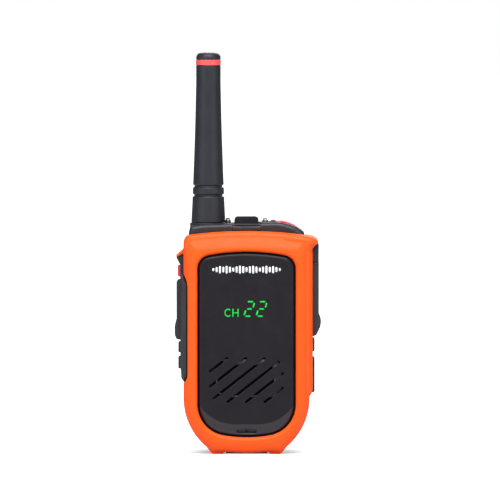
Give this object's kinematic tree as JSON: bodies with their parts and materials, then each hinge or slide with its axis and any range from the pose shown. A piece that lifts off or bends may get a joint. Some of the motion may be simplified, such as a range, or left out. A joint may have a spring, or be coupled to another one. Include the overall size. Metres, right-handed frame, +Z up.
{
  "type": "two way radio",
  "caption": "Hand-held two way radio with stub aerial, orange rubber bumper, dark slotted front panel, side keys, port flap and clip-on battery pack.",
  "frame": {"origin": "centre of the base pad on the surface the radio stands on", "axes": "+Z up towards the aerial, the front of the radio faces -Y, +X to the right seen from the front"},
  "size_m": [0.0637, 0.035, 0.1742],
  "materials": {
    "orange_rubber": "matte overmoulded rubber, orange",
    "panel_plastic": "fine textured smoked plastic",
    "lit_green": "lit light guide",
    "case_plastic": "fine textured dark plastic",
    "seal_rubber": "soft seal rubber",
    "screw_steel": "dark steel",
    "lug_black": "black moulding",
    "bright_steel": "bright steel",
    "red_key": "red silicone key",
    "switch_black": "switch housing",
    "white_plastic": "natural plastic",
    "aerial_rubber": "dark rubber",
    "coral_ring": "coral red plastic",
    "spring_copper": "copper plated spring wire",
    "brass": "turned brass",
    "key_rubber": "dark key rubber",
    "board_green": "circuit board with solder mask",
    "flap_rubber": "dark flap rubber",
    "basket_steel": "painted steel",
    "magnet_dark": "ferrite magnet",
    "cone_paper": "coated paper cone",
    "mesh_fabric": "woven acoustic mesh",
    "cell_foil": "pouch cell foil",
    "gold_contact": "gold plated contact"
  },
  "bodies": {
    "radio": {"front_bumper": "orange_rubber", "front_panel": "panel_plastic", "display_segments": "lit_green", "front_case": "case_plastic", "case_gasket": "seal_rubber", "rear_case": "case_plastic", "case_screws": "screw_steel", "top_cap": "case_plastic", "lanyard_lug": "lug_black", "lug_screws": "bright_steel", "power_button_seal": "seal_rubber", "power_switch_body": "switch_black", "antenna_bushing": "brass", "left_key_frame": "case_plastic", "ptt_pivot_pin": "bright_steel", "side_key_seal": "seal_rubber", "side_switch_bodies": "switch_black", "side_key_board": "board_green", "right_side_frame": "case_plastic", "port_cover_pin": "bright_steel", "usb_c_port": "bright_steel", "headset_jack": "switch_black", "main_board": "board_green", "shield_can": "bright_steel", "display_board": "board_green", "display_module": "white_plastic", "speaker_basket": "basket_steel", "speaker_magnet": "magnet_dark", "speaker_mesh": "mesh_fabric", "microphone": "switch_black", "microphone_boot": "seal_rubber", "radio_contacts": "gold_contact", "battery_screw_nut": "brass"},
    "power_key": {"power_button": "red_key", "power_switch_stem": "white_plastic"},
    "aerial": {"antenna_sheath": "aerial_rubber", "antenna_ring": "coral_ring", "antenna_coil": "spring_copper", "antenna_stud": "brass"},
    "call_key": {"call_button": "red_key", "call_switch_stem": "white_plastic"},
    "talk_lever": {"ptt_lever": "key_rubber"},
    "talk_switch_stem": {"ptt_switch_stem": "white_plastic"},
    "volume_up_key": {"vol_up_button": "key_rubber", "vol_up_switch_stem": "white_plastic"},
    "volume_down_key": {"vol_down_button": "key_rubber", "vol_down_switch_stem": "white_plastic"},
    "port_flap": {"port_cover": "flap_rubber"},
    "battery_pack": {"battery_tray": "case_plastic", "battery_cover": "case_plastic", "battery_cell": "cell_foil", "battery_protection_board": "board_green", "battery_contacts": "gold_contact", "clip_inserts": "brass"},
    "pack_screw": {"battery_screw": "screw_steel"},
    "cone": {"speaker_cone": "cone_paper"}
  },
  "joints": [
    {"name": "power_press", "type": "slide", "parent": "radio", "child": "power_key", "axis": [0, 0, -1], "range_m": [0, 0.0006]},
    {"name": "aerial_unscrew", "type": "hinge", "parent": "radio", "child": "aerial", "pos_m": [-0.0166, -0.0014, 0.0967], "axis": [0, 0, 1], "range_deg": [0, 1620]},
    {"name": "call_press", "type": "slide", "parent": "radio", "child": "call_key", "axis": [1, 0, 0], "range_m": [0, 0.0006]},
    {"name": "talk_press", "type": "hinge", "parent": "radio", "child": "talk_lever", "pos_m": [-0.0271, -0.00375, 0.0739], "axis": [0, -1, 0], "range_deg": [0, 3]},
    {"name": "talk_stem_slide", "type": "slide", "parent": "radio", "child": "talk_switch_stem", "axis": [1, 0, 0], "range_m": [0, 0.00095]},
    {"name": "volume_up_press", "type": "slide", "parent": "radio", "child": "volume_up_key", "axis": [1, 0, 0], "range_m": [0, 0.0006]},
    {"name": "volume_down_press", "type": "slide", "parent": "radio", "child": "volume_down_key", "axis": [1, 0, 0], "range_m": [0, 0.0006]},
    {"name": "flap_open", "type": "hinge", "parent": "radio", "child": "port_flap", "pos_m": [0.03, -0.00375, 0.088], "axis": [0, -1, 0], "range_deg": [0, 100]},
    {"name": "battery_pull", "type": "slide", "parent": "radio", "child": "battery_pack", "axis": [0, 1, 0], "range_m": [0, 0.03]},
    {"name": "battery_screw_turn", "type": "hinge", "parent": "battery_pack", "child": "pack_screw", "pos_m": [0, 0.0163, 0.082], "axis": [0, 1, 0], "range_deg": [0, 1440]},
    {"name": "cone_travel", "type": "slide", "parent": "radio", "child": "cone", "axis": [0, 1, 0], "range_m": [-0.0004, 0.0004]}
  ],
  "couplings": [
    {"joint": "talk_stem_slide", "follows": "talk_press", "m_per_rad": 0.0179}
  ]
}
